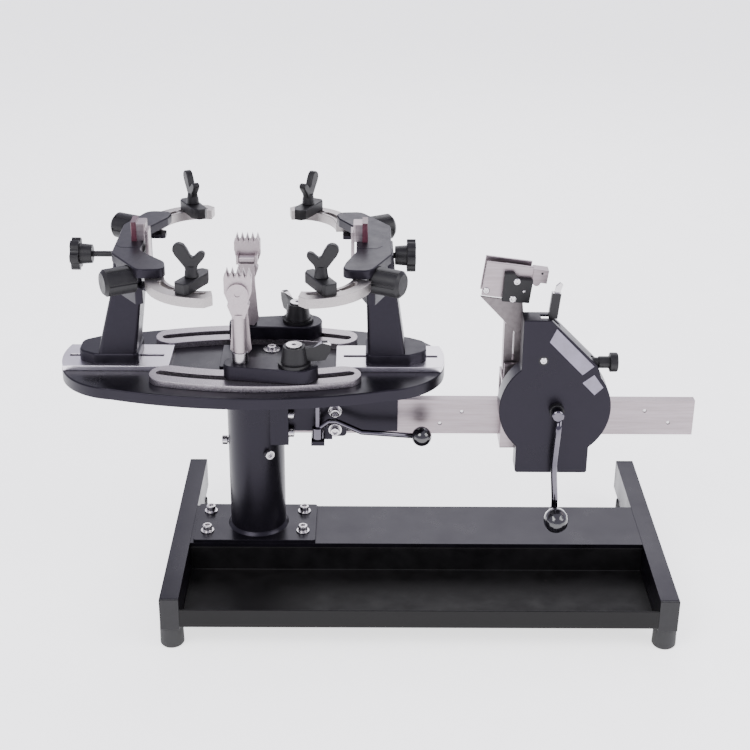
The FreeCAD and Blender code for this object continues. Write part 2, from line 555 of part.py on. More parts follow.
def arm_parts(side, end, label, shift):
    """A curved side arm, its frame pad and the wing screw that clamps it; shift moves them outwards."""
    u0, v0, radius, wide = sheet.arm_u + shift, sheet.arm_v, sheet.arm_radius, sheet.arm_wide
    at = lambda r, deg: Vector(sheet.spin_x + side * (u0 + r * math.cos(math.radians(deg))),
                               end * (v0 + r * math.sin(math.radians(deg))), sheet.arm_low)
    inner, outer = radius - wide / 2, radius + wide / 2
    first, last = 4, 100
    middle = (first + last) / 2
    edge = Part.Wire([Part.Arc(at(outer, first), at(outer, middle), at(outer, last - 8)).toShape(),
                      Part.LineSegment(at(outer, last - 8), at(outer - 6, last)).toShape(),
                      Part.LineSegment(at(outer - 6, last), at(inner, last)).toShape(),
                      Part.Arc(at(inner, last), at(inner, middle), at(inner, first)).toShape(),
                      Part.LineSegment(at(inner, first), at(outer, first)).toShape()])
    lift = Vector(0, 0, sheet.arm_thick)
    arm = Part.Face(edge).extrude(lift)
    track = radius - 3.5
    for start, stop in ((24, 50), (57, 90)):
        half = 2.6
        turn = math.degrees(half / track)
        slot = Part.Wire([Part.Arc(at(track + half, start), at(track + half, (start + stop) / 2),
                                   at(track + half, stop)).toShape(),
                          Part.Arc(at(track + half, stop), at(track, stop + turn),
                                   at(track - half, stop)).toShape(),
                          Part.Arc(at(track - half, stop), at(track - half, (start + stop) / 2),
                                   at(track - half, start)).toShape(),
                          Part.Arc(at(track - half, start), at(track, start - turn),
                                   at(track + half, start)).toShape()])
        arm = arm.cut(Part.Face(slot).extrude(lift))
    for step in range(5):
        arm = arm.cut(barrel_room(side, end, label, step * 2.5))
    keep(shaped(label + "_arm_bar", arm), label + "_arm")

    # The pad is pinned in the slot and reaches from there towards the racket.
    seat = at(track, 69)
    along = Vector(-side * 0.458, -end * 0.889, 0).normalize()
    across = Vector(-along.y, along.x, 0)
    foot = Vector(seat.x, seat.y, sheet.pad_low)
    corners = [(-9, -5), (-5, -8), (28, -8), (37, -3), (37, 4), (32, 8), (-5, 8), (-9, 5), (-9, -5)]
    block = Part.Face(Part.makePolygon([foot + along * a + across * b for a, b in corners]))
    pad = block.extrude(Vector(0, 0, sheet.pad_thick))
    bolt_at = foot + along * 12.5
    bore = Part.makeCylinder(2.7, 40, bolt_at - Vector(0, 0, 10))
    pad = pad.cut(bore)
    pad = pad.makeFillet(1.2, [edge for edge in pad.Edges if level(sheet.pad_low + sheet.pad_thick)(edge)
                               and edge.Length > 4 and edge.Curve.TypeId == "Part::GeomLine"])
    pad = pad.fuse(Part.makeCylinder(2.3, 8, foot - Vector(0, 0, 7.5)))
    keep(shaped(label + "_pad_block", pad), label + "_pad")

    # The wing screw: a blade with one long lobe and one short lobe on a round stem.
    tall, thick = sheet.wing_tall, sheet.wing_thick
    blade_points = [(-4, 6, 0), (-15, tall - 8, 0), (-13, tall - 2, 0), (-9, tall, 0), (-5, tall - 3, 0),
                    (0.5, tall - 16, 0), (6, tall - 9, 0), (10, tall - 9, 0), (11, tall - 13, 0), (4, 6, 0)]
    wire = Part.makePolygon([Vector(x, -thick / 2, z) for x, z, _ in blade_points + blade_points[:1]])
    blade = Part.Face(wire).extrude(Vector(0, thick, 0))
    stem = Part.makeCone(6.5, 4.5, 12, Vector(0, 0, 0.3))
    shank = Part.makeCylinder(2.4, sheet.pad_thick + 4, Vector(0, 0, -sheet.pad_thick - 3.5))
    wing = blade.fuse([stem, shank]).removeSplitter()
    thing = shaped(label + "_wing", wing)
    facing = 0 if end < 0 else 62
    turn = Rotation(Vector(0, 0, 1), facing * side if side < 0 else 180 - facing * 0.9)
    thing.Placement = Placement(Vector(bolt_at.x, bolt_at.y, sheet.pad_low + sheet.pad_thick), turn)
    keep(thing, label + "_wing_screw")


# ---------------------------------------------------------------- string clamps
def string_clamp(end, label, shift):
    """One string clamp: base on the glide bar, lock lever, post, toothed body and jaw with its paddle lever."""
    mid = sheet.spin_x + shift
    v = sheet.clamp_v
    low, thick = sheet.clamp_low, sheet.clamp_thick
    top = low + thick
    bolt_x = sheet.spin_x + (sheet.front_bolt_u if end < 0 else sheet.rear_bolt_u)
    along_bar = bolt_x - bar_middle(end)
    bolt_y = end * (sheet.bar_v - sheet.bar_radius + math.sqrt(sheet.bar_radius ** 2 - along_bar ** 2))
    post_x, post_y = mid - sheet.clamp_post_u, end * v

    big, small = 20, 12
    right, left = (24, 17) if end < 0 else (26, 22)
    outline = [(bolt_x + right, bolt_y - big, big - 2), (bolt_x + right, bolt_y + big, big - 2),
               (post_x - left, post_y + small, small - 2), (post_x - left, post_y - small, small - 2)]
    base = plate(label + "_clamp_casting", outline, "clamp_low", "clamp_thick",
                 holes=[(str(post_x), str(post_y), "4.05")])
    soften(base, 1.5, lambda edge: level(top)(edge) and edge.Length > 26)
    bolt = turned(label + "_guide_bolt", [(0, -4), (4.9, -4), (4.9, 2), (0, 2)],
                  (str(bolt_x), str(bolt_y), "clamp_low"))
    pin = turned(label + "_pin", [(0, 2), (4.05, 2), (4.05, thick), (8, thick), (8, sheet.sleeve_low - low - 0.2),
                 (4, sheet.sleeve_low - low - 0.2), (4, 48), (0, 48)], (str(post_x), str(post_y), "clamp_low"))
    keep(group(label + "_clamp_base_set", [fuse(label + "_clamp_base_all", base, bolt), pin]),
         label + "_clamp_base")

    # The sleeve turns on the pin and its neck widens into the outer jaw; the inner jaw stands beside it.
    post = Vector(post_x, post_y, 0)
    sleeve = Part.makeCylinder(sheet.sleeve_dia / 2, sheet.sleeve_top - sheet.sleeve_low, Vector(0, 0, sheet.sleeve_low))
    bore = Part.makeCylinder(4.1, 22, Vector(0, 0, sheet.sleeve_low))
    neck_low, neck_top = sheet.sleeve_top - 4, 352
    neck = slab([(-6, neck_low), (6, neck_low), (11, neck_top - 8), (6, neck_top), (-6, neck_top),
                 (-11, neck_top - 8)], -5.5, 11)
    thick, gap = 6.2, 1.4
    outer = jaw_plate(neck_top - 6, min(end * gap / 2, end * (gap / 2 + thick)), thick)
    face = end * (gap / 2 + thick)
    disc = Part.makeCylinder(10.5, 3, Vector(0, face, 358), Vector(0, end, 0))
    dimple = Part.makeCylinder(3, 1.5, Vector(0, face + end * 2, 358), Vector(0, end, 0))
    fixed = shaped(label + "_body", sleeve.fuse([neck, outer, disc]).cut(bore).cut(dimple).removeSplitter())

    inner = jaw_plate(neck_top + 1, min(-end * gap / 2, -end * (gap / 2 + thick)), thick)
    pin_y = -end * (gap / 2 + thick + 5)
    ears = [Part.makeBox(2.6, 10, 10, Vector(x, min(-face, -face - end * 10), 353)) for x in (-11, 8.4)]
    hinge = Part.makeCylinder(1.5, 20, Vector(-10, pin_y, sheet.paddle_z), Vector(1, 0, 0))
    moving = shaped(label + "_inner_jaw", inner.fuse(ears + [hinge]).removeSplitter())
    for part in (fixed, moving):
        part.Placement = Placement(post, Rotation())
    keep(group(label + "_clamp_body_set", [fixed, moving]), label + "_clamp_body")

    # The paddle lever hangs from the inner jaw's hinge pin.
    hub = Part.makeCylinder(4.5, 16, Vector(-8, pin_y, sheet.paddle_z), Vector(1, 0, 0))
    eye = Part.makeCylinder(1.6, 18, Vector(-9, pin_y, sheet.paddle_z), Vector(1, 0, 0))
    blade = slab([(-7, 358), (7, 358), (8, 330), (10, 300), (11, 290), (6, 283), (-6, 283), (-11, 290),
                  (-10, 300), (-8, 330)], pin_y - 1.5, 3)
    paddle = shaped(label + "_paddle", hub.fuse(blade).cut(eye).removeSplitter())
    paddle.Placement = Placement(post, Rotation())
    keep(paddle, label + "_clamp_jaw")

    # The lock lever: a flange, a faceted cone and a flat wing.
    flange = Part.makeCylinder(16.5, 3, Vector(0, 0, 0.3))
    cone = Part.makeCone(13.5, 11, 17, Vector(0, 0, 3.3))
    cap = Part.makeCylinder(8, 1.6, Vector(0, 0, 20.3)).cut(Part.makeCylinder(2.6, 1.5, Vector(0, 0, 20.6)))
    wing_edge = [(4, 3.5), (4, 19), (12, 18), (19, 18.5), (28, 23), (34, 23), (37, 20), (36, 12), (31, 4),
                 (22, 3.5), (4, 3.5)]
    wing = Part.Face(Part.makePolygon([Vector(x, -3, z) for x, z in wing_edge])).extrude(Vector(0, 6, 0))
    lever = flange.fuse([cone, cap, wing]).removeSplitter()
    thing = shaped(label + "_lever", lever)
    thing.Placement = Placement(Vector(bolt_x, bolt_y, top), Rotation(Vector(0, 0, 1), 8 if end < 0 else 118))
    keep(thing, label + "_lock_lever")


def jaw_plate(low, near_y, thick):
    """A jaw plate with five pointed teeth along its top."""
    teeth, wide, top = 5, sheet.jaw_wide, sheet.jaw_top
    pitch = wide / teeth
    points = [(-9, low), (9, low), (wide / 2, low + 12), (wide / 2, top)]
    for index in range(teeth):
        right = wide / 2 - index * pitch
        points += [(right - pitch * 0.12, top), (right - pitch * 0.5, top + sheet.tooth_tall),
                   (right - pitch * 0.88, top)]
    return slab(points + [(-wide / 2, top), (-wide / 2, low + 12)], near_y, thick)


# ---------------------------------------------------------------- tension rail and its holder
def rail(post_screws):
    """The steel rail, the rack behind it, the holder that bolts it to the post, and the screws."""
    bar = box("rail_bar", ("rail_end - rail_start", "rail_thick", "rail_tall"),
              ("rail_start", "rail_front", "rail_low"))
    holes = [rod(f"rail_hole_{i}", "2.1", "rail_thick", (str(x), "rail_front", z), "y")
             for i, (x, z) in enumerate(rail_screw_places())]
    keep(cut("rail_drilled", bar, fuse("rail_holes", *holes)), "tension_rail")

    screws = []
    for i, (x, z) in enumerate(rail_screw_places()):
        screws.append(rod(f"rail_screw_{i}", "2.1", "rail_thick - 1.2", (str(x), "rail_front + 1.2", z), "y"))

    # Straight-sided rack teeth along the top of a strip behind the rail.
    pitch = math.pi * sheet.gear_module
    pitch_line = sheet.crank_z - sheet.gear_module * sheet.pinion_teeth / 2
    root = pitch_line - 1.3 * sheet.gear_module
    tip = pitch_line + 0.9 * sheet.gear_module
    first, last = 120.0, sheet.rail_end - 4
    points = [Vector(first, 0, root - 9), Vector(first, 0, root)]
    index = math.ceil((first - sheet.crank_x) / pitch + 0.5)
    while sheet.crank_x + (index + 0.5) * pitch < last:
        middle = sheet.crank_x + index * pitch
        points += [Vector(middle - 1.55, 0, root), Vector(middle - 0.55, 0, tip), Vector(middle + 0.55, 0, tip),
                   Vector(middle + 1.55, 0, root)]
        index += 1
    points += [Vector(last, 0, root), Vector(last, 0, root - 9), points[0]]
    rack = Part.Face(Part.makePolygon(points)).extrude(Vector(0, sheet.gear_wide + 0.6, 0))
    rack.translate(Vector(0, sheet.rail_front + sheet.rail_thick, 0))
    keep(shaped("rack", rack), "gear_rack")

    # The holder: a saddle against the post, a flange for its bolts and a bar that the rail is bolted to.
    saddle = box("saddle", ("22", "50", "66"), ("spin_x + 14", "-25", "172"))
    bar = box("holder_bar", ("holder_end - spin_x - 36", "holder_thick", "holder_tall"),
              ("spin_x + 36", "rail_front - holder_thick", "holder_low"))
    core = rod("post_clearance", "post_dia / 2", "80", ("spin_x", "0", "168"))
    holes = [rod(f"saddle_hole_{i}", "3", "20", ("spin_x + 25", "-20.5", z), "x")
             for i, z in enumerate(("206", "185"))]
    holes += [rod(f"bar_hole_{i}", "3", "20", ("-48", "rail_front - 20", z), "y")
              for i, z in enumerate(("208", "188"))]
    holder = cut("holder_cut", fuse("holder_block", saddle, bar), fuse("holder_holes", core, *holes))
    keep(group("holder_set", [holder, brake_bracket()]), "rail_holder")

    bolts = [cap_screw(f"saddle_bolt_{i}", "spin_x + 36", "-20.5", z, 11, "x", False)
             for i, z in enumerate(("206", "185"))]
    bolts += [cap_screw(f"bar_bolt_{i}", "-48", f"rail_front - holder_thick - {seat}", z, seat + 6.9, "y", True, -1)
              for i, (z, seat) in enumerate((("208", 0), ("188", 4)))]
    keep(group("frame_screw_set", post_screws + screws + bolts), "frame_screws")


def rail_screw_places():
    """The rail's screws, as x and a height formula."""
    return [(63.0, "rail_low + 12"), (86.0, "rail_low + 26"), (280.0, "rail_low + 28"), (306.0, "rail_low + 14")]


def brake_bracket():
    """The small bracket under the holder that carries the brake's stud."""
    bracket = plate("brake_plate", [(-60, 180, 4), (-36, 180, 4), (-36, 193, 4), (-60, 193, 4)],
                    "-rail_front + holder_thick", "4", holes=[("-48", "188", "3.1")], role="XZ_Plane")
    arm = box("brake_bracket_arm", ("14", "14.9", "5"), ("brake_x - 7", "brake_y - 7", "176"))
    riser = box("brake_bracket_riser", ("22", "4", "6"), ("brake_x - 7", "rail_front - holder_thick - 4", "176"))
    stud_hole = rod("stud_hole", "3.1", "10", ("brake_x", "brake_y", "174"))
    return cut("brake_bracket_cut", fuse("brake_bracket_all", bracket, riser, arm), stud_hole)


def brake():
    """The turntable brake: a lever with its nut on a stud, a ball and a pad under the turntable."""
    x, y, z = sheet.brake_x, sheet.brake_y, sheet.brake_lever_z
    boss = Part.makeCylinder(6, 12, Vector(x, y, z - 12.5))
    stud = Part.makeCylinder(3, 50, Vector(x, y, 175))
    path = [Vector(x + 3, y - 1, z), Vector(x + 12, y - 3, z + 8), Vector(x + 20, y - 4, z + 8.5),
            Vector(x + 46, y - 6, z - 3), Vector(x + 100, y - 8, z - 6)]
    lever = boss.fuse([stud, bent_rod(path, 2.8)])
    rod_part = shaped("brake_lever_part", lever.removeSplitter())
    end = path[-1] + (path[-1] - path[-2]).normalize() * 9
    ball = Part.makeSphere(10.5, end)
    keep(group("brake_lever_set", [rod_part, shaped("ball", ball.cut(bent_rod(path, 2.8)))]), "brake_lever")
    pad = turned("pad_disc", [(0, -21.5), (5, -21.5), (5, -6), (11, -6), (11, -0.6), (0, -0.6)],
                 ("brake_x", "brake_y", "table_low"))
    keep(pad, "brake_pad")


def bent_rod(points, radius):
    """A round rod through a few points, with a ball at each bend."""
    pieces = []
    for start, end in zip(points, points[1:]):
        run = end - start
        pieces.append(Part.makeCylinder(radius, run.Length, start, run))
    pieces += [Part.makeSphere(radius, point) for point in points[1:-1]]
    return pieces[0].fuse(pieces[1:])


# ---------------------------------------------------------------- tension head
def cover_outline(inset, y):
    """The cover's front view: neck, slope, big circle and skirt, drawn inwards by inset."""
    cx, cz, radius = sheet.head_x, sheet.crank_z, sheet.cover_radius - inset
    on_left = lambda x, up: cz + up * math.sqrt(radius ** 2 - (cx - x) ** 2)
    left, skirt_right = 142 + inset, 216 - inset
    top, bottom = 327 - inset, 154 + inset
    slope_in = inset * math.tan(math.radians(22.5))
    knee = Vector(cx + radius * math.cos(math.radians(38)), y, cz + radius * math.sin(math.radians(38)))
    skirt_left = 140.5 + inset
    points = [Vector(left, y, on_left(left, 1)), Vector(left, y, top), Vector(169.6 - slope_in, y, top),
              Vector(219.7 - inset, y, 277 - slope_in * 0.4), knee]
    lower_right = Vector(skirt_right, y, on_left(skirt_right, -1))
    lower_left = Vector(skirt_left, y, on_left(skirt_left, -1))
    edges = [Part.LineSegment(a, b).toShape() for a, b in zip(points, points[1:])]
    edges.append(Part.Arc(knee, Vector(cx + radius, y, cz), lower_right).toShape())
    skirt = [lower_right, Vector(skirt_right, y, bottom + 1.5), Vector(skirt_right - 1.5, y, bottom),
             Vector(skirt_left + 1.5, y, bottom), Vector(skirt_left, y, bottom + 1.5), lower_left]
    edges += [Part.LineSegment(a, b).toShape() for a, b in zip(skirt, skirt[1:])]
    edges.append(Part.Arc(lower_left, Vector(cx - radius, y, cz), points[0]).toShape())
    return Part.Wire(edges)


def tension_head():
    """The carriage on the rail: frame, cover, crank with its pinion, arm with the string gripper, and controls."""
    front, deep, wall = sheet.cover_front, sheet.cover_deep, sheet.cover_wall
    outer = Part.Face(cover_outline(0, front)).extrude(Vector(0, deep, 0))
    inner = Part.Face(cover_outline(wall, front + wall)).extrude(Vector(0, deep, 0))
    crank_hole = Part.makeCylinder(sheet.shaft_dia / 2 + 0.3, 10, Vector(sheet.crank_x, front - 2, sheet.crank_z),
                                   Vector(0, 1, 0))
    knob_hole = Part.makeCylinder(6.6, 30, Vector(200, sheet.middle_of_head, sheet.tension_knob_z), Vector(1, 0, 0))
    lever_slot = Part.makeBox(22, 8, 14, Vector(160, sheet.middle_of_head - 4, 317))
    cover = outer.cut(inner).cut(crank_hole).cut(knob_hole).cut(lever_slot)
    keep(shaped("cover_shell", cover), "head_cover")
    back = Part.Face(cover_outline(wall + 0.2, front + deep - 2.4)).extrude(Vector(0, 2.4, 0))
    back = back.cut(Part.makeCylinder(sheet.shaft_dia / 2 + 0.3, 10, Vector(sheet.crank_x, front + deep - 5,
                                                                            sheet.crank_z), Vector(0, 1, 0)))
    back = back.cut(Part.makeBox(30, 6, 30, Vector(160, front + deep - 4, 312)))
    keep(shaped("back_cover", back), "head_back_plate")

    # The frame wraps round the rail; its section is drawn in Y and Z.
    near, far = front + deep + 0.0, 16
    ring = [(near, 170, 2), (far, 170, 2), (far, 247, 2), (near, 247, 2)]
    rail_gap = [(sheet.rail_front - 0.4, sheet.rail_low - 0.4, 0), (10.4, sheet.rail_low - 0.4, 0),
                (10.4, 242, 0), (sheet.rail_front - 0.4, 242, 0)]
    frame = plate("frame_ring", ring, "frame_start", "frame_end - frame_start", slots=[rail_gap], role="YZ_Plane")
    bore = rod("frame_bore", "shaft_dia / 2 + 0.05", "60", ("crank_x", "-30", "crank_z"), "y")
    window = box("pinion_window", ("40", "9.8", "8"), ("crank_x - 20", "1", "241"))
    lugs = [box(f"lug_{i}", ("18", "4", "18"), ("pivot_x - 9", y, "245")) for i, y in enumerate(("-14.5", "8.5"))]
    pivot = rod("pivot_pin", "3", "27", ("pivot_x", "-14.5", "pivot_z"), "y")
    keep(cut("frame_bored", fuse("frame_all", frame, pivot, *lugs), fuse("frame_cuts", bore, window)),
         "carriage_frame")

    # Crank: shaft with the pinion pinned on its inner end, boss, arm and spindle for the grip.
    axis = Vector(0, 1, 0)
    hub = Vector(sheet.crank_x, sheet.crank_plane, sheet.crank_z)
    shaft = Part.makeCylinder(sheet.shaft_dia / 2, 76, hub, axis)
    boss = Part.makeCylinder(6.2, 16, hub - axis * 5, axis)
    low = hub + Vector(sheet.crank_offset, 0, -sheet.crank_reach)
    arm = Part.makeCylinder(3.4, (low - hub).Length, hub, low - hub)
    eye = Part.makeCylinder(5, 7.6, low - axis * 3.8, axis)
    spindle = Part.makeCylinder(3, 26, low, -axis)
    crank = shaft.fuse([boss, arm, eye, spindle]).removeSplitter()
    keep(shaped("crank_part", crank), "crank")
    keep(shaped("pinion_gear", pinion()), "pinion")

    grip = [(3.15, 0), (6.5, 0), (6.8, 2), (9.4, 3.6), (11.6, 7), (12.8, 12), (12.8, 15), (11.4, 20.5),
            (8.2, 24.8), (4, 27), (0, 27.5), (0, 24), (3.15, 24)]
    grip_body = turned("grip", grip, ("crank_x + crank_offset", "crank_plane - 4.2", "crank_z - crank_reach"), "y")
    grip_body.Placement = Placement(Vector(), Rotation(Vector(1, 0, 0), 90))
    keep(grip_body, "crank_grip")

    knob = [(0, 0), (5, 0), (5, 9), (6.2, 9.6), (6.2, 20), (10, 21), (10, 28), (9, 29), (0, 29)]
    keep(turned("tension_dial", knob, ("212", "middle_of_head", "tension_knob_z"), "x"), "tension_knob")

    lever_at = Vector(171, sheet.middle_of_head, 318)
    grip_bar = Part.makeBox(9, 7, 27, Vector(-4.5, -3.5, 8))
    stalk = Part.makeBox(4, 3, 24, Vector(-2, -1.5, -6))
    tip = slab([(-2.5, 34), (3, 34), (5, 44), (2, 46), (-1.5, 42)], -1.5, 3)
    lever = grip_bar.fuse([stalk, tip, Part.makeCylinder(4, 6, Vector(0, -3, -3), axis)]).removeSplitter()
    thing = shaped("release", lever)
    thing.Placement = Placement(lever_at, Rotation(axis, 5.5))
    keep(thing, "release_lever")

    # The spring that the tension knob loads, wound round the knob's axis.
    helix = Part.makeHelix(5, 40, 6.5)
    wire = Part.Wire(Part.makeCircle(1.1, Vector(6.5, 0, 0), Vector(0, 1, 0)))
    coil = Part.Wire(helix).makePipeShell([wire], True, True)
    thing = shaped("spring_coil", coil)
    thing.Placement = Placement(Vector(166, sheet.middle_of_head, sheet.tension_knob_z), Rotation(Vector(0, 1, 0), 90))
    keep(thing, "tension_spring")
    string_gripper()


def pinion():
    """The pinion on the crank's shaft; a gap between two teeth faces straight down at the rack's tooth."""
    teeth, module = int(sheet.pinion_teeth), sheet.gear_module
    pitch_radius = teeth * module / 2
    root, tip = pitch_radius - 1.25 * module, pitch_radius + 0.85 * module
    step = 2 * math.pi / teeth
    points = []
    for index in range(teeth):
        middle = -math.pi / 2 + (index + 0.5) * step
        for radius, half in ((root, 2.16), (pitch_radius, 1.36), (tip, 0.56)):
            points.append((radius, middle - half / teeth))
        for radius, half in ((tip, 0.56), (pitch_radius, 1.36), (root, 2.16)):
            points.append((radius, middle + half / teeth))
    corners = [Vector(sheet.crank_x + r * math.cos(a), sheet.gear_front, sheet.crank_z + r * math.sin(a))
               for r, a in points]
    gear = Part.Face(Part.makePolygon(corners + corners[:1])).extrude(Vector(0, sheet.gear_wide, 0))
    return gear.cut(Part.makeCylinder(sheet.shaft_dia / 2, 30, Vector(sheet.crank_x, -5, sheet.crank_z),
                                      Vector(0, 1, 0)))


def string_gripper():
    """The tilting arm and, on it, the gripper that takes the string."""
    px, pz = sheet.pivot_x, sheet.pivot_z
    axis = Vector(0, 1, 0)
    bars = [slab([(127, pz - 4), (136.2, pz - 6), (136.2, 306), (127, 306)], -7.6, 15.2),
            slab([(137.8, pz - 6), (146, pz - 4), (146, 304), (137.8, 306)], -7.6, 15.2)]
    foot = Part.makeCylinder(8, 15.2, Vector(px, -7.6, pz), axis)
    bracket = bars[0].fuse([bars[1], foot]).cut(Part.makeCylinder(3.05, 40, Vector(px, -20, pz), axis))
    web = slab([(100.5, 337), (129.5, 306), (139.5, 295), (147, 305), (144, 331)], -10.6, 3)
    keep(group("arm_set", [shaped("arm_bracket", bracket.removeSplitter()), shaped("arm_web", web)]),
         "tension_arm")

    tilt = Rotation(axis, 7.5)
    corner = Vector(101.5, 0, 338)
    plates = [Part.makeBox(48, 3, 37, Vector(0, y, 0)) for y in (-10, 7)]
    spacer = Part.makeBox(30, 14, 24, Vector(6, -7, 0))
    gripper = plates[0].fuse([plates[1], spacer]).removeSplitter()
    box_part = shaped("gripper_part", gripper)
    box_part.Placement = Placement(corner, tilt)

    jaw = Part.makeBox(16, 13.4, 14, Vector(48.5, -6.7, 20)).fuse(
        [Part.makeBox(30, 5, 8, Vector(20, -2.5, 26)), Part.makeCylinder(4, 13.4, Vector(54, -6.7, 20), axis)])
    thing = shaped("jaw_part", jaw.removeSplitter())
    thing.Placement = Placement(corner, tilt)
    keep(thing, "gripper_jaw")

    block = slab([(122, 334), (150, 332), (153, 357), (138, 358), (134, 364), (124, 364)], -17, 6.2)
    keep(group("gripper_set", [box_part, shaped("cam_block", block)]), "gripper_body")


# ---------------------------------------------------------------- build, check and write
base_frame()
rail(post())
turntable()
for side, name, knob_u in ((-1, "left", 181), (1, "right", 167)):
    tower(side, name)
    racket_support(side, name)
    star_knob(side, name, knob_u)
ARM_SHIFTS = {"front_left": -9, "rear_right": -2, "front_right": 18, "rear_left": 13}
for name, shift in ARM_SHIFTS.items():
    side = -1 if name.endswith("left") else 1
    end = -1 if name.startswith("front") else 1
    barrel(side, end, name)
    arm_parts(side, end, name, shift)
string_clamp(-1, "front", 3)
string_clamp(1, "rear", 5)
brake()
tension_head()

doc.recompute()
for thing in doc.Objects:
    if {"Invalid", "Error"} & set(thing.State):
        raise RuntimeError(f"{thing.Label} failed: {thing.State}")
os.makedirs("parts", exist_ok=True)
for node in nodes:
    if node.Shape.isNull() or not node.Shape.isValid():
        raise RuntimeError(f"{node.Label} has no valid shape")
    node.Shape.exportStep(f"parts/{node.Label}.step")
    print(f"{node.Label}: {len(node.Shape.Solids)} solid(s), {node.Shape.Volume / 1000:.1f} cm3")
print(len(nodes), "nodes")
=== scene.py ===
# %% [markdown]
# A racket stringing machine stands on a table: a spinning table with two towers that hold the racket, two
# string clamps, and a cranked tension head that rides on a flat rail. The measured CAD model comes in first
# as a fixed frame. Everything in this lesson either gives a CAD piece a better finish or stands in for it
# with a piece shaped from given numbers, in metres, where the CAD says it is.

# %% Load the frame
import json
import math
import bpy
from mathutils import Matrix, Vector


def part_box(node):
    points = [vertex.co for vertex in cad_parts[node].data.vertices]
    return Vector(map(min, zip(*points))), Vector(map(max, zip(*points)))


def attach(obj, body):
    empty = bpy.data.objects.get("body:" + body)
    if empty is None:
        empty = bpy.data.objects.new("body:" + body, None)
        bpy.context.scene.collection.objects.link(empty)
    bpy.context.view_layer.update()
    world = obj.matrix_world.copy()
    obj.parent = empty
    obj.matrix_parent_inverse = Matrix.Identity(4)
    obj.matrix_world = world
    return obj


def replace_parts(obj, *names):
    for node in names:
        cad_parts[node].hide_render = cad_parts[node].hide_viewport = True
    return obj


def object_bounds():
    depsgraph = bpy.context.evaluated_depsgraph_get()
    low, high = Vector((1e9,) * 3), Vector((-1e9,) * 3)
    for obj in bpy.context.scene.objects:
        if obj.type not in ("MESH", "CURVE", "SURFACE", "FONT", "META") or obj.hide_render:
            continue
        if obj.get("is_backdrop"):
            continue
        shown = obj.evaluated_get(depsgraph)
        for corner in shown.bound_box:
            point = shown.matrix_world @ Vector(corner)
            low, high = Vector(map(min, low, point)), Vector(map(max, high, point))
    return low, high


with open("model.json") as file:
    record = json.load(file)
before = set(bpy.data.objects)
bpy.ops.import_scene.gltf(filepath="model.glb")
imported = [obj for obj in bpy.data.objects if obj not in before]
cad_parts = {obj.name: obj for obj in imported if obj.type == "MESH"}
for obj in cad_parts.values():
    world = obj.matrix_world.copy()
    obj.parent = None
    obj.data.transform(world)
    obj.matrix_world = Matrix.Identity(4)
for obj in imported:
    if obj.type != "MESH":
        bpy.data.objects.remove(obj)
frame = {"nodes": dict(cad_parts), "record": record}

CAD_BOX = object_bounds()
nodes = frame["nodes"]
print("CAD box", [round(c, 4) for corner in CAD_BOX for c in corner], "nodes", len(nodes))

# %% [markdown]
# The camera stands a metre and a half away, a little above the machine and looking down at it, with a lens
# about twice as long as the eye sees, so the table's ellipse stays calm. It leans half a degree, as a
# camera held by hand does. Its three directions are worked out from yaw, pitch and roll and set as a matrix.

# %% The camera
CAMERA_AT = (-0.0175, -1.3985, 0.9018)
YAW, PITCH, ROLL = (math.radians(angle) for angle in (0.463, 25.232, 0.481))
forward = Vector((math.sin(YAW) * math.cos(PITCH), math.cos(YAW) * math.cos(PITCH), -math.sin(PITCH)))
level_right = Vector((math.cos(YAW), -math.sin(YAW), 0))
level_up = level_right.cross(forward)
right = level_right * math.cos(ROLL) + level_up * math.sin(ROLL)
up = right.cross(forward)
bpy.ops.object.camera_add(location=CAMERA_AT)
camera = bpy.context.object
camera.name = "camera"
turn = Matrix((right, up, -forward)).transposed().to_4x4()
camera.matrix_world = Matrix.Translation(CAMERA_AT) @ turn
camera.data.lens = 70.46
camera.data.sensor_width = 36
camera.data.clip_start = 0.05
bpy.context.scene.camera = camera
print("camera looks along", [round(c, 3) for c in forward])

# %% [markdown]
# Black paint shows almost nothing of its own colour: what the eye reads is the room mirrored in it. So the
# light is a bright studio. The world is a pale lavender, which gives the sheen on every face that tilts up,
# and three soft panels add the brighter streaks along edges and round parts. The floor is a wide plain sheet.

# %% The studio light and the floor
world = bpy.data.worlds.new("white_studio")
bpy.context.scene.world = world
world.use_nodes = True
world.node_tree.nodes["Background"].inputs["Color"].default_value = (0.84, 0.81, 1.0, 1)
world.node_tree.nodes["Background"].inputs["Strength"].default_value = 1.0


def panel(name, place, aim, size, power):
    """A soft square light at a place, turned to face a point."""
    bpy.ops.object.light_add(type="AREA", location=place)
    lamp = bpy.context.object
    lamp.name = name
    lamp.data.shape = "SQUARE"
    lamp.data.size = size
    lamp.data.energy = power
    lamp.rotation_euler = (Vector(aim) - Vector(place)).to_track_quat("-Z", "Y").to_euler()
    print("light", name, power, "W")


panel("key_panel", (-0.9, -1.2, 1.6), (0, 0, 0.2), 1.0, 26)
panel("fill_panel", (1.3, -0.6, 1.1), (0, 0, 0.25), 0.9, 14)
panel("back_panel", (0.2, 1.5, 1.5), (0, 0, 0.2), 1.4, 18)

bpy.ops.mesh.primitive_plane_add(size=40, location=(0, 0, 0))
floor = bpy.context.object
floor.name = "floor"
bpy.ops.object.transform_apply(location=True, rotation=True, scale=True)
floor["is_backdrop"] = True

# %% [markdown]
# Colours are written the way a paint card gives them, as sRGB hex, and one function turns them to the linear
# numbers that the shader wants. A second small function adds one node to a material with its settings and
# links. Every finish below is built from these two.

# %% Two helpers for materials
def colour(code):
    """An sRGB hex colour as linear red, green, blue and alpha."""
    parts = [int(code[i:i + 2], 16) / 255 for i in (1, 3, 5)]
    return tuple(c / 12.92 if c <= 0.04045 else ((c + 0.055) / 1.055) ** 2.4 for c in parts) + (1.0,)


